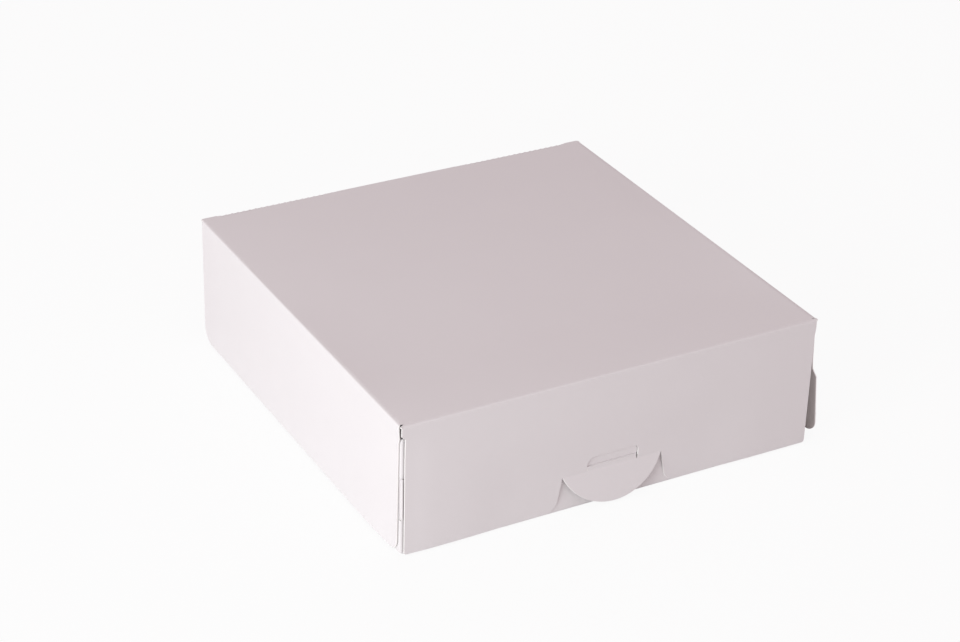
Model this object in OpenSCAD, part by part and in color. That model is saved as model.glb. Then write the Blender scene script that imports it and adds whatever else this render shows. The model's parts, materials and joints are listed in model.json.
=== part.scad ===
/* [Tray] */
// Width of the tray over its corner ears
tray_w = 201; // [140:1:400]
// Depth of the tray over its front and back walls
tray_d = 204; // [140:1:400]
// Height of the closed box
box_h = 63; // [50:1:160]
// Radius of the rounded ends of each wall's top edge
wall_end_r = 6; // [3:0.5:10]
// Length of each corner ear along the side wall
ear_len = 36; // [15:1:50]
// Height of the slit in each corner fold
slit_h = 20.5; // [10:0.5:28]
// Height of the lower end of each corner slit above the floor
slit_z = 17; // [8:1:24]
// How far each side wall's tab stands out of its corner slit
corner_tab_out = 0.5; // [0.2:0.1:0.7]

/* [Board] */
// Thickness of the paperboard
board_t = 0.5; // [0.35:0.05:0.7]
// Inside radius of a folded edge of the tray
fold_r = 0.6; // [0.3:0.1:1]
// Space that a scored fold takes up between two panels
score_gap = 0.3; // [0.2:0.05:0.5]

/* [Lid] */
// Clearance between each side flap and the tray at the fold
side_clear = 0.6; // [0.4:0.1:1.5]
// Clearance between the front flap and the tray's front wall
front_clear = 1.2; // [1.1:0.1:2.5]
// Clearance between the lid and the top edges of the walls
lid_clear = 0.4; // [0.3:0.1:1]
// Corner radius of the lid panel
lid_corner_r = 1.6; // [0.5:0.1:4]
// Clearance between the flaps and the floor
floor_clear = 0.8; // [0.5:0.1:4]

/* [Side flaps] */
// Distance from the lid's front and back edges to a side flap's ends
side_flap_inset = 1.8; // [1.4:0.1:8]
// Distance that each end of a side flap slants in on its way down
side_taper = 0.6; // [0:0.1:5]
// Radius of each side flap's lower front corner
side_front_r = 6; // [2:0.5:20]
// Radius of each side flap's lower back corner
side_back_r = 8; // [2:0.5:20]
// Angle that the left flap springs out from the tray
left_flare = 0.5; // [0.5:0.5:10]
// Angle that the right flap springs out from the tray
right_flare = 6.5; // [0.5:0.5:10]

/* [Front flap] */
// Distance from the lid's left edge to the front flap
front_inset_left = 2.3; // [1:0.1:6]
// Distance from the lid's right edge to the front flap
front_inset_right = 1; // [1:0.1:6]
// Height of the wider shoulders under the front fold
shoulder_h = 5.5; // [2:0.5:12]
// Distance from the lid's edges to the ends of the shoulders
shoulder_inset = 0.6; // [0.6:0.1:1]
// Radius of the front flap's outer lower corners
front_corner_r = 1.2; // [0.5:0.1:8]
// Height of the lock's crease above the floor
crease_z = 17; // [14:0.5:24]
// Length of the lock's crease
crease_w = 49; // [40:1:60]
// Distance that each side of the notch leans outwards
notch_flare = 3; // [1:0.5:8]
// Radius where the notch runs out into the flap's lower edge
notch_r = 6; // [3:0.5:9]

/* [Lock tab] */
// Depth of the tab's curved outline below the crease
tab_drop = 16.3; // [10:0.1:16.5]
// Angle that the tab stands out from the front flap
tab_tilt = 13; // [5:1:25]
// Width of the tongue above the crease
tongue_w = 24.5; // [16:0.5:30]
// Height of the tongue above the crease
tongue_h = 6.2; // [4:0.1:8]
// Radius of the tongue's upper left corner
tongue_left_r = 3.9; // [1:0.1:3.9]
// Radius of the tongue's upper right corner
tongue_right_r = 2.2; // [1:0.1:3.9]
// Distance from the front flap's face in to the tongue's face
tongue_in = 0.9; // [0.8:0.05:0.95]
// Clearance round the tongue in the front flap's cut-out
cut_clear = 0.3; // [0.2:0.05:0.6]
// Clearance at each side of the tongue in the tray's slot
slot_side_clear = 0.8; // [0.5:0.1:2]
// Clearance above the tongue in the tray's slot
slot_top_clear = 0.6; // [0.4:0.1:2]
// Depth of the tray's slot below the crease
slot_below = 1.6; // [1.5:0.1:3]

/* [Hidden] */
$fn = 48;

board_colour = [0.93, 0.92, 0.92];
inside_colour = [0.89, 0.88, 0.86];

// Overrun of a cutting shape past the surface that it opens
bleed = 0.2;
// Reach of a corner's circle past the sides that it rounds off
corner_bite = 0.01;
// Free space on each side of a corner tab in its slit
tab_clear = 0.3;
// Length left unfolded at each end of the tray's lower folds
corner_relief = 0.4;

// Outside radius of a folded edge
bend_r = fold_r + board_t;
half_w = tray_w / 2;
half_d = tray_d / 2;
// Outer face of each side wall, which stands inside the ears
side_x = half_w - board_t;
// Top edges of the walls, under the lid panel
wall_top = box_h - board_t - lid_clear;
back_top = box_h - board_t - score_gap;
ear_top = wall_top - wall_end_r;

// Outline of the lid panel, from the front fold to the back fold
lid_w = tray_w + 2 * (side_clear + board_t);
lid_front = -(half_d + front_clear + board_t);
lid_back = half_d;
lid_d = lid_back - lid_front;
lid_mid = (lid_back + lid_front) / 2;

// Panels that hang from the lid's folds
flap_top = box_h - board_t - score_gap;
flap_h = flap_top - floor_clear;
side_flap_len = lid_d - 2 * side_flap_inset;
front_left = lid_w / 2 - front_inset_left;
front_right = lid_w / 2 - front_inset_right;
shoulder_x = lid_w / 2 - shoulder_inset;

// Height of the crease and of the tongue over the front flap's lower edge
crease_up = crease_z - floor_clear;
notch_low = crease_w / 2 + notch_flare;
// Circle through both ends of the crease and the tab's lowest point
tab_r = (pow(crease_w / 2, 2) + pow(tab_drop, 2)) / (2 * tab_drop);

// Waste outside a rounded lower left corner whose point is at the origin
// The corner's side leans out to the left on its way up, and the circle crosses both sides
module corner_waste(r, lean = 0) {
    reach = r * tan((90 - lean) / 2);
    difference() {
        polygon([[reach, 0], [-reach * sin(lean), reach * cos(lean)],
            [-reach * sin(lean) - bleed, reach * cos(lean)], [-bleed, -bleed], [reach, -bleed]]);
        translate([reach, r]) circle(r + corner_bite);
    }
}

// Upright panel centred on the vertical axis, its lower corners rounded and its sides slanting in
module round_foot_panel(w, h, left_r, right_r, taper = 0) {
    lean = atan(taper / h);
    foot = w / 2 - taper;
    difference() {
        polygon([[-w / 2, h], [w / 2, h], [foot, 0], [-foot, 0]]);
        translate([-foot, 0]) corner_waste(left_r, lean);
        translate([foot, 0]) mirror([1, 0]) corner_waste(right_r, lean);
    }
}

// Tray wall outline whose top edge rounds down at both ends
module wall_outline(w, top) {
    translate([0, top]) mirror([0, 1]) round_foot_panel(w, top - bend_r, wall_end_r, wall_end_r);
}

// Section of a folded edge that turns from level to upright
module fold_section() {
    intersection() {
        difference() {
            circle(bend_r);
            circle(fold_r);
        }
        translate([-bend_r, -bend_r]) square(bend_r);
    }
}

// Fold along the lower edge of a wall that stands on the front of the base
module lower_fold(len) {
    rotate([90, 0, 90]) linear_extrude(len, center = true) fold_section();
}

// Corner fold with the ear behind it, and the slit that takes the side wall's tab
module corner_ear() {
    difference() {
        union() {
            translate([-half_w + bend_r, -half_d + bend_r, bend_r])
                linear_extrude(ear_top - bend_r) fold_section();
            translate([-half_w, -half_d + bend_r, bend_r])
                cube([board_t, ear_len, ear_top - bend_r]);
        }
        corner_slit();
    }
}

// Slit along a corner fold
module corner_slit() {
    translate([-half_w - bleed, -half_d - bleed, slit_z])
        cube([2 * board_t + tab_clear + bleed, bend_r + bleed, slit_h]);
}

// Side wall that stands inside the ears, with a tab through each corner slit
module side_wall() {
    len = tray_d - 2 * bend_r;
    translate([-side_x, 0, 0]) rotate([90, 0, 90]) linear_extrude(board_t) {
        wall_outline(len, wall_top);
        translate([-half_d - corner_tab_out, slit_z + tab_clear])
            square([tray_d + 2 * corner_tab_out, slit_h - 2 * tab_clear]);
    }
    translate([-side_x + bend_r, 0, bend_r]) rotate([0, 0, -90])
        lower_fold(len - 2 * corner_relief);
}

// Front wall with the slot behind the lock's tongue
module front_wall() {
    slot_w = tongue_w + 2 * slot_side_clear;
    slot_low = crease_z - slot_below;
    slot_high = crease_z + tongue_h + slot_top_clear;
    translate([0, -half_d + board_t, 0]) rotate([90, 0, 0]) linear_extrude(board_t) difference() {
        wall_outline(tray_w - 2 * bend_r, wall_top);
        translate([-slot_w / 2, slot_low]) square([slot_w, slot_high - slot_low]);
    }
}

// Back wall, which reaches up to the lid's fold
module back_wall() {
    translate([0, half_d, 0]) rotate([90, 0, 0]) linear_extrude(board_t)
        wall_outline(tray_w - 2 * bend_r, back_top);
}

// Folded tray: base, four walls and four ears from one sheet
module tray() {
    color(inside_colour) {
        translate([-side_x + bend_r, -half_d + bend_r, 0])
            cube([2 * (side_x - bend_r), tray_d - 2 * bend_r, board_t]);
        for (side = [0, 1]) mirror([side, 0, 0]) side_wall();
        for (end = [0, 1]) mirror([0, end, 0])
            translate([0, -half_d + bend_r, bend_r])
                lower_fold(2 * (side_x - bend_r - corner_relief));
        difference() {
            union() {
                front_wall();
                back_wall();
            }
            for (side = [0, 1]) mirror([side, 0, 0])
                for (end = [0, 1]) mirror([0, end, 0]) corner_slit();
        }
        for (side = [0, 1]) mirror([side, 0, 0])
            for (end = [0, 1]) mirror([0, end, 0]) corner_ear();
    }
}

// Lid panel with slightly rounded corners
module lid() {
    inner_w = lid_w - 2 * lid_corner_r;
    inner_d = lid_d - 2 * lid_corner_r;
    color(board_colour) translate([0, lid_mid, box_h - board_t]) linear_extrude(board_t) union() {
        square([lid_w, inner_d], center = true);
        square([inner_w, lid_d], center = true);
        for (x = [-inner_w / 2, inner_w / 2])
            for (y = [-inner_d / 2, inner_d / 2])
                translate([x, y]) circle(lid_corner_r);
    }
}

// Side flap below the fold at the left edge of the lid, its outer face on the fold line
module side_flap(flare) {
    translate([0, lid_mid, 0]) rotate([0, flare, 0])
        translate([0, 0, -flap_h - board_t - score_gap])
            rotate([90, 0, 90]) linear_extrude(board_t)
                round_foot_panel(side_flap_len, flap_h, side_front_r, side_back_r, side_taper);
}

module left_flap() {
    color(board_colour) translate([-lid_w / 2, 0, box_h]) side_flap(left_flare);
}

module right_flap() {
    color(board_colour) mirror([1, 0, 0]) translate([-lid_w / 2, 0, box_h]) side_flap(right_flare);
}

// Half of the notch below the crease, rounded where it runs out into the lower edge
module notch_side() {
    polygon([[-bleed, -bleed], [notch_low, -bleed], [notch_low, 0],
        [crease_w / 2, crease_up], [-bleed, crease_up]]);
    translate([notch_low, 0]) corner_waste(notch_r, atan(notch_flare / crease_up));
}

// Tongue outline above the crease, grown by a clearance
module tongue_outline(grow, foot) {
    w = tongue_w + 2 * grow;
    h = tongue_h + grow + foot;
    translate([0, tongue_h + grow]) mirror([0, 1])
        round_foot_panel(w, h, tongue_left_r, tongue_right_r);
}

// Front flap outline, with shoulders under the fold and rounded lower corners
module front_outline() {
    low = flap_h - shoulder_h;
    difference() {
        polygon([[-front_left, 0], [front_right, 0], [front_right, low], [shoulder_x, low],
            [shoulder_x, flap_h], [-shoulder_x, flap_h], [-shoulder_x, low], [-front_left, low]]);
        translate([-front_left, 0]) corner_waste(front_corner_r);
        translate([front_right, 0]) mirror([1, 0]) corner_waste(front_corner_r);
    }
}

// Front flap with the notch round the tab and the cut-out that the tongue was folded from
module front_flap() {
    color(board_colour) translate([0, lid_front + board_t, floor_clear])
        rotate([90, 0, 0]) linear_extrude(board_t) difference() {
            front_outline();
            notch_side();
            mirror([1, 0]) notch_side();
            translate([-crease_w / 2, crease_up - bleed]) square([crease_w, bleed + score_gap / 2]);
            translate([0, crease_up]) tongue_outline(cut_clear, bleed);
        }
}

// Curved tab below the crease, with the tongue that turns in behind the front flap
module lock_tab() {
    color(board_colour) translate([0, lid_front, crease_z]) {
        rotate([-tab_tilt, 0, 0]) translate([0, board_t, 0])
            rotate([90, 0, 0]) linear_extrude(board_t) intersection() {
                translate([0, tab_r - tab_drop]) circle(tab_r, $fn = 128);
                translate([-crease_w / 2, -tab_drop - bleed])
                    square([crease_w, tab_drop + bleed - score_gap / 2]);
            }
        translate([-tongue_w / 2, 0, -score_gap / 2 - board_t])
            cube([tongue_w, tongue_in + board_t, board_t]);
        translate([0, tongue_in + board_t, 0]) rotate([90, 0, 0]) linear_extrude(board_t)
            tongue_outline(0, score_gap / 2 + board_t);
    }
}

tray();
lid();
left_flap();
right_flap();
front_flap();
lock_tab();
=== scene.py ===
import json
import math
import bmesh
import bpy
from mathutils import Matrix, Vector
from mathutils.geometry import delaunay_2d_cdt


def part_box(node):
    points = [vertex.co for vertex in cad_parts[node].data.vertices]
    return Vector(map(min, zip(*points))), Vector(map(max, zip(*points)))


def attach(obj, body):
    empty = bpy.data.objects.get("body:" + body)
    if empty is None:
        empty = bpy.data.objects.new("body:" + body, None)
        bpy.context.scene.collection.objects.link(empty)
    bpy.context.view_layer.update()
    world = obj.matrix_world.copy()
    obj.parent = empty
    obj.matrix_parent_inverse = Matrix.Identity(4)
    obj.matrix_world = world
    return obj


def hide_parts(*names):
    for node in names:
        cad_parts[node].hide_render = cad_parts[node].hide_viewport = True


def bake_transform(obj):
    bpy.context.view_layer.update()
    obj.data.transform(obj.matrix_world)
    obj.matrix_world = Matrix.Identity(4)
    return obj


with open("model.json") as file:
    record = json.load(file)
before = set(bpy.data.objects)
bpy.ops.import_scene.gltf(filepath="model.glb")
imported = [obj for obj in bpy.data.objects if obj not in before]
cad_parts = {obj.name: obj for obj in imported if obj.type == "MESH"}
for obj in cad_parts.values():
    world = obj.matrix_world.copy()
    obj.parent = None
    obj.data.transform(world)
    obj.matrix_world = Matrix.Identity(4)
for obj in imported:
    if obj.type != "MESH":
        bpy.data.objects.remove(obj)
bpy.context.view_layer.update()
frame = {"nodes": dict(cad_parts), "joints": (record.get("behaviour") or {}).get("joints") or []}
print("frame loaded")

mm = 0.001
scene = bpy.context.scene


# Places and sizes of the folds, read from the frame, in mm

def jointAt(name):
    return Vector(next(j["pos_m"] for j in frame["joints"] if j["name"] == name)) / mm


def boxOf(node):
    return [Vector(corner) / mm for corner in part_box(node)]


lidLow, lidHigh = boxOf("lid")
frontLow, frontHigh = boxOf("front_flap")
leftLow, leftHigh = boxOf("left_flap")
_, rightHigh = boxOf("right_flap")
trayLow, trayHigh = boxOf("tray")
tabHinge = jointAt("tab_crease")

board = lidHigh.z - lidLow.z          # thickness of the board
topZ = lidHigh.z
halfLid = lidHigh.x
frontY, backY = lidLow.y, lidHigh.y
foldR = topZ - frontHigh.z            # outside radius of a fold, which fills the scored gap
foldLen = foldR * math.pi / 2
scoreGap = foldR - board
footZ = frontLow.z                    # lower edge of the flaps
hang = topZ - foldR - footZ           # height of a flap below its fold
lead = 1.2                            # strip of lid panel that belongs to a fold's mesh


def flareOf(edgeX):
    # angle that a side flap is swung out about its fold
    return math.asin((abs(edgeX) - halfLid) / (topZ - footZ))


# Outlines

def arcPoints(centre, radius, start, end, steps=8):
    angles = [math.radians(start + (end - start) * i / steps) for i in range(steps + 1)]
    return [(centre[0] + radius * math.cos(a), centre[1] + radius * math.sin(a)) for a in angles]


def splitLong(loop, step):
    points = []
    for i, a in enumerate(loop):
        b = loop[(i + 1) % len(loop)]
        count = max(1, math.ceil(math.dist(a, b) / step))
        points += [(a[0] + (b[0] - a[0]) * k / count, a[1] + (b[1] - a[1]) * k / count) for k in range(count)]
    return points


def insideLoop(p, loop):
    inside = False
    for i, a in enumerate(loop):
        b = loop[i - 1]
        if (a[1] > p[1]) != (b[1] > p[1]) and p[0] < (b[0] - a[0]) * (p[1] - a[1]) / (b[1] - a[1]) + a[0]:
            inside = not inside
    return inside


def lineRange(low, high, step):
    count = max(1, round((high - low) / step))
    return [low + (high - low) * i / count for i in range(count + 1)]


def smoothStep(t):
    t = min(1.0, max(0.0, t))
    return t * t * (3 - 2 * t)


# Sheets cut to an outline, then bent and given the board's thickness

edgeRoll = 0.13                       # how far the cutting die rolls a cut edge over
grid = 3.0                            # distance between the points inside a sheet
gridEdge = 1.5                        # distance of the first of them from the sheet's edge
fineGrid = 1.2                        # the same distance for the lock
nearly = 0.01                         # slack for telling whether a point is on a join


def outwardAt(loop):
    # direction out of the outline at each of its points, square to the line through its neighbours
    around = sum(a[0] * b[1] - b[0] * a[1] for a, b in zip(loop, loop[1:] + loop[:1]))
    side = math.copysign(1, around)
    ways = []
    for i in range(len(loop)):
        a, b = loop[i - 1], loop[(i + 1) % len(loop)]
        along = Vector((b[0] - a[0], b[1] - a[1])).normalized()
        ways.append(Vector((along.y, -along.x)) * side)
    return ways


def cutSheet(name, outline, columns, rows, bend, joined, step=grid, clear=0.3):
    # bend turns (u, v, depth under the printed face), all in mm, into a place in mm
    # joined tells where the outline meets another sheet, so that no cut edge shows there
    # step is the longest side along the outline, clear the least distance of inner points from it
    loop = splitLong(outline, step)
    points = [Vector(p) for p in loop]
    for u in columns:
        for v in rows:
            if insideLoop((u, v), loop) and min(math.dist((u, v), p) for p in loop) > clear:
                points.append(Vector((u, v)))
    edges = [(i, (i + 1) % len(loop)) for i in range(len(loop))]
    flat, _, faces, _, _, _ = delaunay_2d_cdt(points, edges, [], 1, 1e-5)
    outward = {(round(p[0], 3), round(p[1], 3)): way for p, way in zip(loop, outwardAt(loop))}
    sheet = bmesh.new()
    face, shoulder, back = [], [], []
    for p in flat:
        way = outward.get((round(p.x, 3), round(p.y, 3)))
        inset = Vector((0, 0)) if way is None or joined(p.x, p.y) else way * edgeRoll
        face.append(sheet.verts.new(bend(p.x - inset.x, p.y - inset.y, 0) * mm))
        shoulder.append(sheet.verts.new(bend(p.x, p.y, edgeRoll) * mm))
        back.append(sheet.verts.new(bend(p.x, p.y, board) * mm))
    rims = {}
    for corners in faces:
        middle = sum((flat[i] for i in corners), Vector((0, 0))) / len(corners)
        if not insideLoop(middle, loop):
            continue
        sheet.faces.new([face[i] for i in corners]).material_index = 0
        sheet.faces.new([back[i] for i in reversed(corners)]).material_index = 1
        for a, b in zip(corners, corners[1:] + corners[:1]):
            if rims.pop((b, a), None) is None:
                rims[a, b] = True
    for a, b in rims:
        sheet.faces.new([face[b], face[a], shoulder[a], shoulder[b]]).material_index = 2
        sheet.faces.new([shoulder[b], shoulder[a], back[a], back[b]]).material_index = 2
    for loose in [v for v in sheet.verts if not v.link_faces]:
        sheet.verts.remove(loose)
    bmesh.ops.recalc_face_normals(sheet, faces=sheet.faces)
    return sheetPiece(name, sheet)


def sheetPiece(name, sheet, sharp=30):
    for face in sheet.faces:
        face.smooth = True
    for edge in sheet.edges:
        if len(edge.link_faces) == 2 and edge.calc_face_angle(0) > math.radians(sharp):
            edge.smooth = False
    data = bpy.data.meshes.new(name)
    sheet.to_mesh(data)
    sheet.free()
    piece = bpy.data.objects.new(name, data)
    scene.collection.objects.link(piece)
    for material in (coatedBoard, plainBoard, cutBoard):
        data.materials.append(material)
    return piece


# Materials

def makeGroup(name, inputs, outputs):
    group = bpy.data.node_groups.new(name, "ShaderNodeTree")
    for label, kind, value in inputs:
        socket = group.interface.new_socket(label, in_out="INPUT", socket_type=kind)
        if value is not None:
            socket.default_value = value
    for label, kind in outputs:
        group.interface.new_socket(label, in_out="OUTPUT", socket_type=kind)
    return group


def addNode(tree, kind, links=(), **values):
    node = tree.nodes.new(kind)
    for key, value in values.items():
        if hasattr(node, key):
            setattr(node, key, value)
        else:
            node.inputs[key.replace("_", " ")].default_value = value
    for socket, source in links:
        tree.links.new(source, node.inputs[socket])
    return node


def mathNode(tree, operation, a, b=0.5, c=0.5):
    node = tree.nodes.new("ShaderNodeMath")
    node.operation = operation
    for socket, source in zip(node.inputs, (a, b, c)):
        if isinstance(source, (int, float)):
            socket.default_value = source
        else:
            tree.links.new(source, socket)
    return node.outputs[0]


def makeFibreGroup():
    # pressed fibres and soft mottle of paperboard
    group = makeGroup("boardFibre", [
        ("Vector", "NodeSocketVector", None), ("Fibre Size", "NodeSocketFloat", 900.0),
        ("Mottle Size", "NodeSocketFloat", 60.0), ("Tone Spread", "NodeSocketFloat", 0.03)],
        [("Tone", "NodeSocketFloat"), ("Height", "NodeSocketFloat"), ("Mottle", "NodeSocketFloat")])
    start, end = group.nodes.new("NodeGroupInput"), group.nodes.new("NodeGroupOutput")
    # fibres lie mostly along the board's grain, which runs from side to side
    stretched = addNode(group, "ShaderNodeMapping", [("Vector", start.outputs["Vector"])])
    stretched.inputs["Scale"].default_value = (0.35, 1.0, 1.0)
    fibre = addNode(group, "ShaderNodeTexNoise", [("Vector", stretched.outputs[0]),
                    ("Scale", start.outputs["Fibre Size"])], Detail=3.0, Roughness=0.6)
    mottle = addNode(group, "ShaderNodeTexNoise", [("Vector", start.outputs["Vector"]),
                     ("Scale", start.outputs["Mottle Size"])], Detail=4.0, Roughness=0.55)
    mixed = mathNode(group, "ADD", mathNode(group, "MULTIPLY", fibre.outputs[0], 0.35),
                     mathNode(group, "MULTIPLY", mottle.outputs[0], 0.65))
    swing = mathNode(group, "MULTIPLY", mathNode(group, "SUBTRACT", mixed, 0.5),
                     start.outputs["Tone Spread"])
    tone = mathNode(group, "ADD", swing, 1.0)
    group.links.new(tone, end.inputs["Tone"])
    group.links.new(fibre.outputs[0], end.inputs["Height"])
    group.links.new(mottle.outputs[0], end.inputs["Mottle"])
    return group


def makeInsideGroup():
    # tells the tray's inner faces from its outer ones, by which way they face from the box's middle
    group = makeGroup("insideFace", [("Middle Height", "NodeSocketFloat", 0.03)],
                      [("Inside", "NodeSocketFloat")])
    start, end = group.nodes.new("NodeGroupInput"), group.nodes.new("NodeGroupOutput")
    place = addNode(group, "ShaderNodeTexCoord")
    middle = addNode(group, "ShaderNodeCombineXYZ", [("Z", start.outputs["Middle Height"])])
    away = addNode(group, "ShaderNodeVectorMath", [(0, place.outputs["Object"]), (1, middle.outputs[0])],
                   operation="SUBTRACT")
    facing = addNode(group, "ShaderNodeNewGeometry")
    dot = addNode(group, "ShaderNodeVectorMath", [(0, away.outputs[0]), (1, facing.outputs["True Normal"])],
                  operation="DOT_PRODUCT")
    inner = mathNode(group, "LESS_THAN", dot.outputs["Value"], 0.0)
    group.links.new(inner, end.inputs["Inside"])
    return group


finish = {
    "coat": (0.82, 0.80, 0.805),      # clay coated face, linear colour
    "plain": (0.74, 0.725, 0.70),     # uncoated inner face
    "cut": (0.93, 0.915, 0.90),       # raw cut edge, whiter than the coat
    "coatRough": 0.48,
    "plainRough": 0.85,
    "cutRough": 0.95,
    "roughSpread": 0.12,              # how far the mottle changes the roughness, in all
    "specular": 0.35,
    "relief": 0.03,                   # height of the fibres in mm
}

fibreGroup = makeFibreGroup()
insideGroup = makeInsideGroup()


def makeBoard(name, colour, rough, fibreSize, mottleSize, spread, bump):
    # the two sizes are noise scales per metre, spread and bump are shares of the full effect
    material = bpy.data.materials.new(name)
    material.use_nodes = True
    tree = material.node_tree
    shader = tree.nodes["Principled BSDF"]
    place = addNode(tree, "ShaderNodeTexCoord")
    fibre = addNode(tree, "ShaderNodeGroup", node_tree=fibreGroup)
    tree.links.new(place.outputs["Object"], fibre.inputs["Vector"])
    fibre.inputs["Fibre Size"].default_value = fibreSize
    fibre.inputs["Mottle Size"].default_value = mottleSize
    fibre.inputs["Tone Spread"].default_value = spread
    tint = addNode(tree, "ShaderNodeVectorMath", operation="SCALE")
    tint.inputs[0].default_value = colour
    tree.links.new(fibre.outputs["Tone"], tint.inputs["Scale"])
    tree.links.new(tint.outputs[0], shader.inputs["Base Color"])
    roughSpread = finish["roughSpread"]
    uneven = mathNode(tree, "MULTIPLY_ADD", fibre.outputs["Mottle"], roughSpread, rough - roughSpread / 2)
    tree.links.new(uneven, shader.inputs["Roughness"])
    relief = addNode(tree, "ShaderNodeBump", [("Height", fibre.outputs["Height"])])
    relief.inputs["Strength"].default_value = bump
    relief.inputs["Distance"].default_value = finish["relief"] * mm
    tree.links.new(relief.outputs[0], shader.inputs["Normal"])
    shader.inputs["Specular IOR Level"].default_value = finish["specular"]
    return material


coatedBoard = makeBoard("coatedBoard", finish["coat"], finish["coatRough"], 1400, 45, 0.03, 0.35)
plainBoard = makeBoard("plainBoard", finish["plain"], finish["plainRough"], 900, 70, 0.07, 0.8)
cutBoard = makeBoard("cutBoard", finish["cut"], finish["cutRough"], 2600, 400, 0.12, 1.0)


def makeTrayBoard():
    # coated outside and plain inside on one folded solid
    material = makeBoard("trayBoard", finish["coat"], finish["coatRough"], 1200, 50, 0.05, 0.5)
    tree = material.node_tree
    shader = tree.nodes["Principled BSDF"]
    inside = addNode(tree, "ShaderNodeGroup", node_tree=insideGroup)
    inside.inputs["Middle Height"].default_value = topZ / 2 * mm
    tint = next(n for n in tree.nodes if n.type == "VECT_MATH")
    colour = addNode(tree, "ShaderNodeMix", [("Factor", inside.outputs["Inside"])], data_type="RGBA")
    colour.inputs["A"].default_value = (*finish["coat"], 1)
    colour.inputs["B"].default_value = (*finish["plain"], 1)
    tree.links.new(colour.outputs["Result"], tint.inputs[0])
    return material


trayBoard = makeTrayBoard()
print("board materials made")


# Lid panel

lidShape = {
    "cornerR": 1.6,          # rounding of the panel's free corners
    "backInset": 8.2,        # free length at each end of the back fold
    "sagDepth": 1.1,         # hollow between the side edges, deepest near the front
    "sagAt": 0.24,           # place of the deepest hollow, as a share of the depth from the front
    "sagEnd": 0.62,          # place where the hollow ends, as the same share
    "sagFlat": 6,            # power that keeps the hollow flat from side to side
    "swell": 0.35,           # gentle rise of the rear half
    "swellFrom": 0.5,        # place where that rise starts, as the same share
}
foldLeft, foldRight = frontLow.x, frontHigh.x
sideFront, sideBack = leftLow.y, leftHigh.y
backHalf = halfLid - lidShape["backInset"]
seamX = halfLid - foldR - lead


def lidHollow(x, y):
    across = max(0.0, 1 - (abs(x) / seamX) ** lidShape["sagFlat"])
    along = (y - frontY - foldR - lead) / (backY - frontY - 2 * (foldR + lead))
    along = min(1.0, max(0.0, along))
    peak, last, swellFrom = lidShape["sagAt"], lidShape["sagEnd"], lidShape["swellFrom"]
    hollow = smoothStep(along / peak if along < peak else (last - along) / (last - peak))
    rise = math.sin(math.pi * min(1.0, max(0.0, (along - swellFrom) / (1 - swellFrom))))
    return across * (lidShape["swell"] * rise - lidShape["sagDepth"] * hollow)


def makeLidPanel():
    inset = foldR + lead
    radius = lidShape["cornerR"]
    frontR = halfLid - foldRight
    outline = arcPoints((-halfLid + frontR, frontY + frontR), frontR, 180, 270)
    outline += [(foldLeft, frontY + inset), (foldRight, frontY + inset)]
    outline += arcPoints((halfLid - frontR, frontY + frontR), frontR, 270, 360)
    outline += [(halfLid, sideFront), (halfLid - inset, sideFront), (halfLid - inset, sideBack)]
    outline += arcPoints((halfLid - radius, backY - radius), radius, 0, 90)
    outline += [(backHalf, backY), (backHalf, backY - inset)]
    outline += [(-backHalf, backY - inset), (-backHalf, backY)]
    outline += arcPoints((-halfLid + radius, backY - radius), radius, 90, 180)
    outline += [(-halfLid + inset, sideBack), (-halfLid + inset, sideFront)]
    columns = lineRange(-halfLid + inset + gridEdge, halfLid - inset - gridEdge, grid)
    rows = lineRange(frontY + inset + gridEdge, backY - inset - gridEdge, grid)

    def bend(x, y, depth):
        return Vector((x, y, topZ - depth + lidHollow(x, y)))

    def joined(x, y):
        across = abs(x) <= halfLid - inset + nearly
        return across and frontY + inset - nearly <= y <= backY - inset + nearly

    panel = cutSheet("lidPanel", outline, columns, rows, bend, joined)
    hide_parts("lid")
    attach(panel, "lid")


makeLidPanel()
print("lid panel made")


# Flaps that turn down from the lid's folds

def foldBend(origin, along, outward, flare, bulge=None):
    # u runs along the fold, s from the lid panel round the fold and down the flap
    up = Vector((0, 0, 1))
    centre = origin - (outward + up) * foldR

    def bend(u, s, depth):
        if s <= 0:
            place = centre + outward * s + up * (foldR - depth)
        elif s < foldLen:
            turn = s / foldR
            place = centre + (up * math.cos(turn) + outward * math.sin(turn)) * (foldR - depth)
        else:
            place = centre + outward * (foldR - depth) - up * (s - foldLen)
            if bulge:
                place += outward * bulge(u, s - foldLen)
        arm = place - origin
        swing = flare * min(1.0, max(0.0, s / foldLen))
        out, rise = arm.dot(outward), arm.dot(up)
        turned = outward * (out * math.cos(swing) - rise * math.sin(swing))
        turned += up * (out * math.sin(swing) + rise * math.cos(swing))
        return origin + turned + along * u

    return bend


foldSteps = 6                         # rows of faces round a fold
foldRows = [-lead, -lead / 2, 0] + [foldLen * i / foldSteps for i in range(1, foldSteps + 1)]
foldRows += [foldLen + 0.6]


def makeFlap(name, low, high, foot, bend, joinedBelow=None):
    # foot is the lower outline from low to high, as (u, height over the flap's lower edge)
    bottom = foldLen + hang
    outline = [(u, bottom - height) for u, height in foot]
    outline += [(high, s) for s in reversed(foldRows)]
    outline += [(low, s) for s in foldRows]
    columns = lineRange(low + gridEdge, high - gridEdge, grid)
    rows = foldRows[1:] + lineRange(foldLen + 2.4, bottom - gridEdge, grid)

    def joined(u, s):
        return s < nearly or joinedBelow is not None and joinedBelow(u, bottom - s)

    return cutSheet(name, outline, columns, rows, bend, joined)


def hingeBlend(piece):
    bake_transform(piece)


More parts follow.
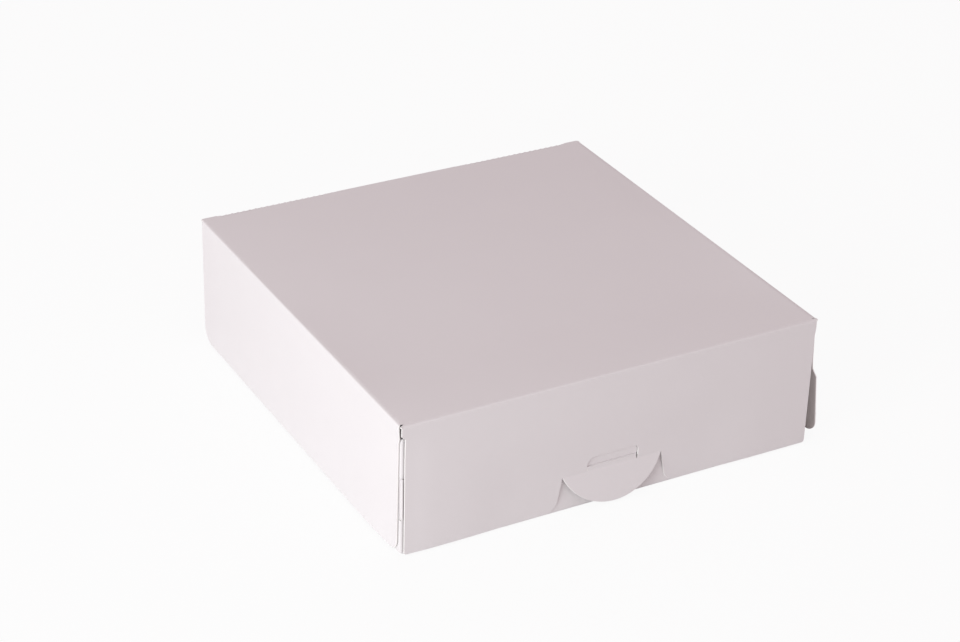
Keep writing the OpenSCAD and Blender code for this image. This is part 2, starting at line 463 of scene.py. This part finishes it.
sideShape = {
    "frontR": 6.0,           # lower corner at the front
    "backR": 8.0,            # lower corner at the back
    "taper": 0.6,            # how far each end slants in on its way down
    "bow": 0.3,              # how far the flap bows out in its middle
    "endIn": 1.0,            # how far the front end stands back under its shoulder
    "shoulderH": 6.0,        # height of that shoulder
    "shoulderEase": 3.0,     # height over which it narrows
    "pressTop": 0.4,         # how far the left flap's front end is pressed in, at its top
    "pressFoot": 0.45,       # and how much further at its foot
    "pressFrom": 0.72,       # where the pressing starts, as a share of the half length
    "pressEase": 0.15,       # share of the height over which it starts
    "curl": 1.4,             # how far the right flap's front end curls out
    "curlLen": 8.0,          # length of the curled end
    "curlFrom": 0.2,         # share of the height where the curl starts
    "curlEase": 0.3,         # and over which it grows
    "wornDepth": 1.9,        # hollow worn into the right flap's front end
    "wornTop": 9.0,          # where the hollow starts and ends, down from the fold
    "wornLow": 31.0,
    "wornFull": 0.8,         # share of the hollow's height where it reaches its depth
    "wornEase": 0.84,        # and where it starts to run out
    "wornPoints": 12,
}


def sideBulge(side):
    half = (sideBack - sideFront) / 2

    def bulge(u, down):
        fall = min(1, down / hang)
        bow = sideShape["bow"] * math.sin(math.pi * fall) * (1 - (u / half) ** 2)
        if side < 0:
            frontEnd = smoothStep((-u / half - sideShape["pressFrom"]) / (1 - sideShape["pressFrom"]))
            frontEnd *= smoothStep(fall / sideShape["pressEase"])
            return bow - (sideShape["pressTop"] + sideShape["pressFoot"] * fall) * frontEnd
        turn = max(0.0, 1 - (u + half) / sideShape["curlLen"])
        grown = smoothStep((fall - sideShape["curlFrom"]) / sideShape["curlEase"])
        return bow + sideShape["curl"] * turn ** 2 * grown

    return bulge


def wornEnd(end):
    # hollow in a side flap's front end, deepest near its lower edge
    top, low = sideShape["wornTop"], sideShape["wornLow"]
    count, ease = sideShape["wornPoints"], sideShape["wornEase"]
    points = []
    for i in range(count + 1):
        t = i / count
        depth = sideShape["wornDepth"] * smoothStep(t / sideShape["wornFull"])
        depth *= 1 - smoothStep((t - ease) / (1 - ease))
        points.append((end + depth, hang - top - (low - top) * t))
    return points


def makeSideFlap(name, node, side, edgeX):
    outward = Vector((side, 0, 0))
    along = Vector((0, 1, 0))
    middle = (sideFront + sideBack) / 2
    half = (sideBack - sideFront) / 2
    origin = Vector((side * halfLid, middle, topZ))
    frontR, backR, taper = sideShape["frontR"], sideShape["backR"], sideShape["taper"]
    end, shoulder = -half + sideShape["endIn"], hang - sideShape["shoulderH"]
    foot = [(-half, shoulder), (end, shoulder - sideShape["shoulderEase"])]
    foot += wornEnd(end)[1:] if side > 0 else []
    foot += arcPoints((end + taper + frontR, frontR), frontR, 180, 270)
    foot += arcPoints((half - taper - backR, backR), backR, 270, 360)
    bend = foldBend(origin, along, outward, flareOf(edgeX), sideBulge(side))
    flap = makeFlap(name, -half, half, foot, bend)
    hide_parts(node)
    hingeBlend(flap)


makeSideFlap("leftFlap", "left_flap", -1, leftLow.x)
makeSideFlap("rightFlap", "right_flap", 1, rightHigh.x)
print("side flaps made")


# Front flap, with the lock's notch and the tongue's cut-out

frontShape = {
    "leftIn": 1.7,           # how far each end stands back under the wider shoulders
    "rightIn": 0.4,
    "shoulderH": 5.5,
    "shoulderEase": 1.6,     # height over which a shoulder narrows
    "cornerR": 1.2,
    "bow": 0.35,             # how far the flap bows out in its middle
    "drawnIn": 0.5,          # how far the lock draws the flap in to the wall
    "drawnHalf": 75.0,       # half length of the part that is drawn in
    "drawnSlope": 30.0,      # length over which that part runs out
    "drawnFrom": 0.3,        # share of the height where it starts
    "drawnEase": 0.45,       # and over which it grows
    "leftPress": 0.4,        # how far its left end is pressed in
    "pressLen": 14.0,        # length of the pressed end
    "pressSlope": 12.0,      # length over which it runs out
    "pressEase": 0.3,        # share of the height over which it grows
    "bowEnds": 0.9,          # share of a half wave that the bow makes from end to end
}

lockShape = {
    "creaseW": 49.0,         # length of the lock's crease
    "flare": 3.0,            # how far each side of the notch leans out
    "runOutR": 6.0,          # rounding from the notch into the lower edge
    "tongueW": 24.5,         # width of the tongue, and its height over the crease
    "tongueH": 6.2,
    "leftR": 3.9,            # the tongue's upper corners
    "rightR": 2.2,
    "tongueGrow": 0.22,      # how far the soft board fills the cut-out round the tongue
    "tongueIn": 0.5,         # how far the tongue stands behind the flap's face
    "stepH": 1.85,           # height at which the tongue turns in
    "stepEase": 0.2,         # height that the turn takes
    "valley": 0.4,           # depth of the narrow valley at that turn
    "valleyHalf": 0.3,       # half its height
    "nickGap": 0.45,         # gap at the right end of the tongue's foot
    "tabDrop": 16.3,         # how far the tab reaches under the crease
    "tabSteps": 48,          # sides along the tab's curve
    "tilt": 13.0,            # angle that the tab stands out from the flap
    "cutClear": 0.3,         # gap round the tongue in the flap's cut-out
    "ridge": 0.12,           # height of the crease's ridge
}
creaseUp = tabHinge.z - footZ
halfCrease = lockShape["creaseW"] / 2


def tongueTop(grow):
    # upper outline of the tongue over the crease, from left to right
    half = lockShape["tongueW"] / 2 + grow
    high = lockShape["tongueH"] + grow
    leftR, rightR = lockShape["leftR"], lockShape["rightR"]
    top = arcPoints((-half + leftR, high - leftR), leftR, 180, 90)
    return top + arcPoints((half - rightR, high - rightR), rightR, 90, 0)


def frontBulge(u, down):
    # a little proud in its upper half, drawn in round the lock and pressed in at its left end
    fall = min(1, down / hang)
    across = math.cos(math.pi * u / (foldRight - foldLeft) * frontShape["bowEnds"])
    drawn = smoothStep((fall - frontShape["drawnFrom"]) / frontShape["drawnEase"])
    drawn *= smoothStep((frontShape["drawnHalf"] - abs(u)) / frontShape["drawnSlope"])
    pressed = smoothStep((foldLeft + frontShape["pressLen"] - u) / frontShape["pressSlope"])
    pressed *= smoothStep(fall / frontShape["pressEase"])
    bow = frontShape["bow"] * math.sin(math.pi * fall) * across * (1 - drawn)
    return bow - frontShape["drawnIn"] * drawn - frontShape["leftPress"] * pressed


def makeFrontFlap():
    lean = math.atan(lockShape["flare"] / creaseUp)
    radius = lockShape["runOutR"]
    runOut = radius * math.tan((math.pi / 2 - lean) / 2)
    reach = halfCrease + lockShape["flare"] + runOut
    tangent = math.degrees(lean)
    edge = creaseUp + scoreGap / 2
    corner = frontShape["cornerR"]
    leftEnd, rightEnd = foldLeft + frontShape["leftIn"], foldRight - frontShape["rightIn"]
    shoulder = hang - frontShape["shoulderH"]
    easeUp = shoulder + frontShape["shoulderEase"]
    cutHalf = lockShape["tongueW"] / 2 + lockShape["cutClear"]
    foot = [(foldLeft, easeUp), (leftEnd, shoulder)]
    foot += arcPoints((leftEnd + corner, corner), corner, 180, 270)
    foot += arcPoints((-reach, radius), radius, 270, 360 - tangent)
    foot += [(-halfCrease, creaseUp), (-halfCrease, edge), (-cutHalf, edge)]
    foot += [(u, creaseUp + height) for u, height in tongueTop(lockShape["cutClear"])]
    foot += [(cutHalf, edge), (halfCrease, edge), (halfCrease, creaseUp)]
    foot += arcPoints((reach, radius), radius, 180 + tangent, 270)
    foot += arcPoints((rightEnd - corner, corner), corner, 270, 360)
    foot += [(rightEnd, shoulder), (foldRight, easeUp)]
    origin = Vector((0, frontY, topZ))
    outward = Vector((0, -1, 0))
    bend = foldBend(origin, Vector((1, 0, 0)), outward, 0.0, frontBulge)

    def joinedBelow(u, height):
        return abs(height - edge) < nearly and cutHalf - nearly < abs(u) < halfCrease + nearly

    flap = makeFlap("frontFlap", foldLeft, foldRight, foot, bend, joinedBelow)
    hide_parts("front_flap")
    hingeBlend(flap)


makeFrontFlap()
print("front flap made")


# Lock tab with its tongue, and the crease at each side of the tongue

def frontAtCrease(u):
    return frontBulge(u, hang - creaseUp)


def tabBend(u, height, depth):
    tilt = math.radians(lockShape["tilt"])
    face = tabHinge.y - frontAtCrease(u)
    if height < 0:
        out = -height * math.sin(tilt) - depth * math.cos(tilt)
        rise = height * math.cos(tilt) - depth * math.sin(tilt)
        return Vector((u, face - out, tabHinge.z + rise))
    turned = smoothStep((height - lockShape["stepH"]) / lockShape["stepEase"])
    valleyHalf = lockShape["valleyHalf"]
    valley = lockShape["valley"] * max(0.0, 1 - abs(height - lockShape["stepH"] - valleyHalf) / valleyHalf)
    inward = (lockShape["tongueIn"] + valley) * turned
    return Vector((u, face + inward + depth, tabHinge.z + height))


def makeLockTab():
    drop = lockShape["tabDrop"]
    radius = (halfCrease ** 2 + drop ** 2) / (2 * drop)
    edge = -scoreGap / 2
    side = math.degrees(math.asin((radius - drop + scoreGap / 2) / radius))
    outline = arcPoints((0, radius - drop), radius, 180 + side, 360 - side, lockShape["tabSteps"])
    grow, step = lockShape["tongueGrow"], lockShape["stepH"]
    half = lockShape["tongueW"] / 2 + grow
    foot = half - lockShape["nickGap"]
    tongue = [(foot, edge), (foot, step - 0.1), (half, step + 0.3)]
    tongue += list(reversed(tongueTop(grow))) + [(-half, 0), (-half, edge)]
    # the rows stand close together where the tongue turns in
    rows = [-0.6, edge, 0, 0.5, 1.0, 1.5, 4.5] + [step + 0.1 * i for i in range(7)] + [3.0, 5.3]
    rows += lineRange(-drop + 0.8, -fineGrid, fineGrid)
    columns = lineRange(-halfCrease + 0.5, halfCrease - 0.5, fineGrid)

    def joined(u, height):
        return abs(height - edge) < nearly and abs(u) > half - nearly

    tab = cutSheet("lockTab", outline + tongue, columns, rows, tabBend, joined, step=1.0, clear=0.15)
    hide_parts("lock_tab")
    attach(tab, "lock_tab")


def allJoined(u, v):
    return True


def makeCrease(name, low, high):
    half = scoreGap / 2
    rows = lineRange(-half, half, half / 2)
    outline = [(low, h) for h in reversed(rows)] + [(high, h) for h in rows]

    def bend(u, height, depth):
        tilt = math.radians(lockShape["tilt"]) * (half - height) / (2 * half)
        ridge = lockShape["ridge"] * (1 - (height / half) ** 2)
        face = tabHinge.y - frontAtCrease(u)
        arm = Vector((0, depth - ridge, height))
        out = -arm.y * math.cos(tilt) - arm.z * math.sin(tilt)
        rise = arm.z * math.cos(tilt) - arm.y * math.sin(tilt)
        return Vector((u, face - out, tabHinge.z + rise))

    columns = lineRange(low + fineGrid / 2, high - fineGrid / 2, fineGrid)
    crease = cutSheet(name, outline, columns, rows[1:-1], bend, allJoined, step=fineGrid, clear=0.02)
    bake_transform(crease)


makeLockTab()
cutEdge = lockShape["tongueW"] / 2 + lockShape["cutClear"]
makeCrease("creaseLeft", -halfCrease, -cutEdge)
makeCrease("creaseRight", cutEdge, halfCrease)
print("lock tab made")


# Back fold, from the tray's back wall over to the lid panel

def makeBackFold():
    origin = Vector((0, backY, topZ))
    outward = Vector((0, 1, 0))
    bend = foldBend(origin, Vector((1, 0, 0)), outward, 0.0)
    rows = foldRows[:-1]
    outline = [(-backHalf, s) for s in rows] + [(backHalf, s) for s in reversed(rows)]
    columns = lineRange(-backHalf + gridEdge, backHalf - gridEdge, grid)
    fold = cutSheet("backFold", outline, columns, rows[1:-1], bend, allJoined)
    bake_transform(fold)


makeBackFold()
print("back fold made")


# Tray, its front wall pushed out a little at the foot

trayShape = {
    "footOut": 0.9,          # how far the front wall's foot is pushed out
    "footHigh": 13.0,        # height where the push ends
    "footFull": 60.0,        # half width of the full push, which ends before the corners
    "footHalf": 90.0,        # half width at which the push has run out
    "footBack": 12.0,        # how far the push reaches into the base
    "footSlope": 10.0,       # length over which it runs out there
    "gridX": 5.0,            # distances between the cuts that let the shell bend
    "gridY": 2.0,
    "gridZ": 1.5,
    "foldIn": 0.6,           # inside radius of the tray's folds
    "tabOut": 0.5,           # how far the side walls' tabs stand out of the corner slits
}
wallY = trayLow.y + trayShape["tabOut"]
wallX = trayHigh.x - board


def footPush(x, y, z):
    full, half = trayShape["footFull"], trayShape["footHalf"]
    across = smoothStep((half - abs(x)) / (half - full))
    behind = smoothStep((wallY + trayShape["footBack"] - y) / trayShape["footSlope"])
    return -trayShape["footOut"] * across * behind * (1 - smoothStep(z / trayShape["footHigh"]))


def makeTrayShell():
    half, back, high = trayShape["footHalf"], trayShape["footBack"], trayShape["footHigh"]
    stepX, stepY, stepZ = trayShape["gridX"], trayShape["gridY"], trayShape["gridZ"]
    shell = bmesh.new()
    shell.from_mesh(frame["nodes"]["tray"].data)
    bmesh.ops.remove_doubles(shell, verts=shell.verts, dist=1e-6)
    cuts = [((x, 0, 0), (1, 0, 0)) for x in lineRange(-half, half, stepX)]
    cuts += [((0, y, 0), (0, 1, 0)) for y in lineRange(wallY + stepY, wallY + back, stepY)]
    cuts += [((0, 0, z), (0, 0, 1)) for z in lineRange(2, high, stepZ)]
    for place, way in cuts:
        everything = shell.verts[:] + shell.edges[:] + shell.faces[:]
        bmesh.ops.bisect_plane(shell, geom=everything, plane_co=Vector(place) * mm,
                               plane_no=way, dist=1e-7)
    for vert in shell.verts:
        vert.co.y += footPush(*(vert.co / mm)) * mm
    data = bpy.data.meshes.new("trayShell")
    shell.to_mesh(data)
    shell.free()
    data.materials.append(trayBoard)
    tray = bpy.data.objects.new("trayShell", data)
    scene.collection.objects.link(tray)
    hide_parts("tray")
    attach(tray, "tray")


makeTrayShell()
print("tray made")


# Beads that the scoring leaves along the inner side of each fold, and nicks on the die-cut edges

beadShape = {
    "width": 0.5,            # across the whole bead, half of which is buried in the board
    "endIn": 1.0,            # how far a bead stops short of its fold's ends
    "step": 4.0,             # distance between rings along a bead
    "uneven": 0.25,          # share by which a bead's width changes along its way
}
nickShape = {
    "width": 0.5,
    "height": 0.35,
    "uneven": 0.4,           # share by which the nicks differ in size
    "seed": 7,
    "places": (-78.0, -41.5, 44.0, 69.5, 91.0),   # along the front flap's lower edge
}


def newTree(name, inputs):
    tree = bpy.data.node_groups.new(name, "GeometryNodeTree")
    tree.interface.new_socket("Geometry", in_out="INPUT", socket_type="NodeSocketGeometry")
    for label, kind in inputs:
        tree.interface.new_socket(label, in_out="INPUT", socket_type=kind)
    tree.interface.new_socket("Geometry", in_out="OUTPUT", socket_type="NodeSocketGeometry")
    return tree, tree.nodes.new("NodeGroupInput"), tree.nodes.new("NodeGroupOutput")


def closeTree(tree, start, end, made):
    # every tree ends with real geometry in its own material
    real = addNode(tree, "GeometryNodeRealizeInstances", [("Geometry", made)])
    dressed = addNode(tree, "GeometryNodeSetMaterial",
                      [("Geometry", real.outputs[0]), ("Material", start.outputs["Material"])])
    tree.links.new(dressed.outputs[0], end.inputs[0])


def makeBeadTree():
    tree, start, end = newTree("scoreBead", [
        ("Bead Width", "NodeSocketFloat"), ("Ring Distance", "NodeSocketFloat"),
        ("Uneven", "NodeSocketFloat"), ("Material", "NodeSocketMaterial")])
    route = addNode(tree, "GeometryNodeMeshToCurve", [("Mesh", start.outputs["Geometry"])])
    rings = addNode(tree, "GeometryNodeResampleCurve",
                    [("Curve", route.outputs[0]), ("Length", start.outputs["Ring Distance"])],
                    mode="LENGTH")
    wander = addNode(tree, "ShaderNodeTexNoise", Scale=90.0, Detail=2.0)
    swing = mathNode(tree, "MULTIPLY", mathNode(tree, "SUBTRACT", wander.outputs[0], 0.5),
                     start.outputs["Uneven"])
    radius = mathNode(tree, "MULTIPLY", mathNode(tree, "ADD", swing, 0.5), start.outputs["Bead Width"])
    section = addNode(tree, "GeometryNodeCurvePrimitiveCircle", Resolution=8, Radius=1.0)
    swept = addNode(tree, "GeometryNodeCurveToMesh",
                    [("Curve", rings.outputs[0]), ("Profile Curve", section.outputs[0]),
                     ("Scale", radius)])
    swept.inputs["Fill Caps"].default_value = True
    closeTree(tree, start, end, swept.outputs[0])
    return tree


def makeNickTree():
    tree, start, end = newTree("cutNick", [
        ("Nick Width", "NodeSocketFloat"), ("Nick Height", "NodeSocketFloat"),
        ("Uneven", "NodeSocketFloat"), ("Seed", "NodeSocketInt"), ("Material", "NodeSocketMaterial")])
    tuft = addNode(tree, "GeometryNodeMeshIcoSphere", Subdivisions=2, Radius=0.5)
    chance = addNode(tree, "FunctionNodeRandomValue", [("Seed", start.outputs["Seed"])], data_type="FLOAT")
    swing = mathNode(tree, "MULTIPLY", mathNode(tree, "SUBTRACT", chance.outputs["Value"], 0.5),
                     start.outputs["Uneven"])
    share = mathNode(tree, "ADD", swing, 1.0)
    sizes = addNode(tree, "ShaderNodeCombineXYZ", [
        ("X", mathNode(tree, "MULTIPLY", share, start.outputs["Nick Width"])),
        ("Y", mathNode(tree, "MULTIPLY", share, start.outputs["Nick Height"])),
        ("Z", mathNode(tree, "MULTIPLY", share, start.outputs["Nick Height"]))])
    spread = addNode(tree, "GeometryNodeInstanceOnPoints", [
        ("Points", start.outputs["Geometry"]), ("Instance", tuft.outputs["Mesh"]),
        ("Scale", sizes.outputs[0])])
    closeTree(tree, start, end, spread.outputs[0])
    return tree


def grow(name, tree, verts, edges, values, slot, body):
    # runs a tree on a few points or lines and keeps its result as a plain mesh
    guide = bpy.data.objects.new(name + "Guide", bpy.data.meshes.new(name + "Guide"))
    guide.data.from_pydata([Vector(v) * mm for v in verts], edges, [])
    scene.collection.objects.link(guide)
    modifier = guide.modifiers.new("grow", "NODES")
    modifier.node_group = tree
    for item in tree.interface.items_tree:
        if item.in_out == "INPUT" and item.name in values:
            modifier[item.identifier] = values[item.name]
    guide.update_tag()
    bpy.context.view_layer.update()
    ready = guide.evaluated_get(bpy.context.evaluated_depsgraph_get())
    data = bpy.data.meshes.new_from_object(ready)
    data.name = name
    guide.modifiers.remove(modifier)
    bpy.data.objects.remove(guide)
    piece = bpy.data.objects.new(name, data)
    scene.collection.objects.link(piece)
    for face in data.polygons:
        face.use_smooth = True
    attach(piece, body)


def makeBeads(name, lines, slot, body):
    verts, edges = [], []
    for line in lines:
        edges += [(len(verts) + i, len(verts) + i + 1) for i in range(len(line) - 1)]
        verts += line
    values = {"Bead Width": beadShape["width"] * mm, "Ring Distance": beadShape["step"] * mm,
              "Uneven": beadShape["uneven"], "Material": plainBoard}
    grow(name, beadTree, verts, edges, values, slot, body)


def trayFoldLines():
    outer, endIn = trayShape["foldIn"] + board, beadShape["endIn"]
    lift = outer - trayShape["foldIn"] * math.sqrt(0.5)   # from a wall's face to the fold's inner side
    reachX, reachY = wallX - lift, -wallY - lift
    lines = []
    for y in (-reachY, reachY):
        xs = lineRange(-reachX + endIn, reachX - endIn, trayShape["gridX"])
        lines.append([(x, y + footPush(x, y, lift), lift) for x in xs])
    for x in (-reachX, reachX):
        lines.append([(x, y, lift) for y in (-reachY + endIn, reachY - endIn)])
    return lines


def lidFoldLines():
    lift = foldR - scoreGap * math.sqrt(0.5)
    side, front, z, endIn = halfLid - lift, frontY + lift, topZ - lift, beadShape["endIn"]
    lines = [[(foldLeft + endIn, front, z), (foldRight - endIn, front, z)]]
    lines += [[(x, sideFront + endIn, z), (x, sideBack - endIn, z)] for x in (-side, side)]
    lines.append([(-backHalf + endIn, backY - lift, z), (backHalf - endIn, backY - lift, z)])
    return lines


beadTree, nickTree = makeBeadTree(), makeNickTree()
makeBeads("trayBeads", trayFoldLines(), "board_inside", "tray")
makeBeads("lidBeads", lidFoldLines(), "board", "lid")
nickLine = [(x, frontY - frontBulge(x, hang) + board / 2, footZ) for x in nickShape["places"]]
grow("frontNicks", nickTree, nickLine, [], {
    "Nick Width": nickShape["width"] * mm, "Nick Height": nickShape["height"] * mm,
    "Uneven": nickShape["uneven"], "Seed": nickShape["seed"], "Material": cutBoard},
    "board", "front_flap")
print("score beads and nicks made")


# Camera, light and floor

cameraView = {
    "place": (-470.5, -824.3, 561.3),     # mm, fitted to the box's corners in the photograph
    "azimuth": 29.26,
    "elevation": 29.01,
    "roll": 1.594,
    "lens": 89.47,                        # mm, on the sensor's width
    "sensor": 36,
    "nearest": 0.05,                      # m
}


def makeCamera():
    data = bpy.data.cameras.new("camera")
    camera = bpy.data.objects.new("camera", data)
    scene.collection.objects.link(camera)
    a, e, r = (math.radians(cameraView[k]) for k in ("azimuth", "elevation", "roll"))
    ahead = Vector((math.sin(a) * math.cos(e), math.cos(a) * math.cos(e), -math.sin(e)))
    level = Vector((math.cos(a), -math.sin(a), 0))
    upright = level.cross(ahead)
    right = level * math.cos(r) + upright * math.sin(r)
    up = upright * math.cos(r) - level * math.sin(r)
    turn = Matrix((right, up, -ahead)).transposed().to_4x4()
    camera.matrix_world = Matrix.Translation(Vector(cameraView["place"]) * mm) @ turn
    data.sensor_width = cameraView["sensor"]
    data.lens = cameraView["lens"]
    data.clip_start = cameraView["nearest"]
    scene.camera = camera


def makeLight(name, place, target, size, power, colour):
    data = bpy.data.lights.new(name, "AREA")
    data.shape = "SQUARE"
    data.size = size
    data.energy = power
    data.color = colour
    lamp = bpy.data.objects.new(name, data)
    lamp.location = place
    lamp.rotation_euler = (Vector(target) - Vector(place)).to_track_quat("-Z", "Y").to_euler()
    scene.collection.objects.link(lamp)


studio = {
    "worldTone": (1.0, 0.87, 0.895),
    "world": 0.6,
    "keyPlace": (-1.1, -0.45, 0.4),       # m
    "keyTarget": (0, 0, 0.03),
    "keySize": 0.6,
    "keyPower": 8.3,
    "keyTone": (0.93, 1.0, 1.0),
    "floorHalf": 6.0,
    "floorTone": 0.86,
    "floorRough": 0.9,
    "floorLift": 0.92,                    # how far the floor goes to plain white for the camera
}


def makeWorld():
    world = bpy.data.worlds.new("studioWorld")
    scene.world = world
    world.use_nodes = True
    tree = world.node_tree
    tree.nodes.clear()
    out = addNode(tree, "ShaderNodeOutputWorld")
    fill = addNode(tree, "ShaderNodeBackground", Strength=studio["world"])
    fill.inputs["Color"].default_value = (*studio["worldTone"], 1)
    white = addNode(tree, "ShaderNodeBackground", Strength=1.0)
    white.inputs["Color"].default_value = (1, 1, 1, 1)
    ray = addNode(tree, "ShaderNodeLightPath")
    mix = addNode(tree, "ShaderNodeMixShader", [(0, ray.outputs["Is Camera Ray"]),
                  (1, fill.outputs[0]), (2, white.outputs[0])])
    tree.links.new(mix.outputs[0], out.inputs["Surface"])


def makeFloor():
    data = bpy.data.meshes.new("floor")
    half = studio["floorHalf"]
    corners = [(-half, -half, 0), (half, -half, 0), (half, half, 0), (-half, half, 0)]
    data.from_pydata(corners, [], [(0, 1, 2, 3)])
    floor = bpy.data.objects.new("floor", data)
    scene.collection.objects.link(floor)
    material = bpy.data.materials.new("paleFloor")
    material.use_nodes = True
    tree = material.node_tree
    shader = tree.nodes["Principled BSDF"]
    tone = studio["floorTone"]
    shader.inputs["Base Color"].default_value = (tone, tone, tone, 1)
    shader.inputs["Roughness"].default_value = studio["floorRough"]
    white = addNode(tree, "ShaderNodeEmission", Strength=1.0)
    ray = addNode(tree, "ShaderNodeLightPath")
    lift = mathNode(tree, "MULTIPLY", ray.outputs["Is Camera Ray"], studio["floorLift"])
    mix = addNode(tree, "ShaderNodeMixShader", [(0, lift), (1, shader.outputs[0]), (2, white.outputs[0])])
    tree.links.new(mix.outputs[0], tree.nodes["Material Output"].inputs["Surface"])
    data.materials.append(material)


scene.view_settings.view_transform = "Standard"
makeCamera()
makeWorld()
makeLight("keyLight", studio["keyPlace"], studio["keyTarget"], studio["keySize"],
          studio["keyPower"], studio["keyTone"])
makeFloor()
print("studio made")
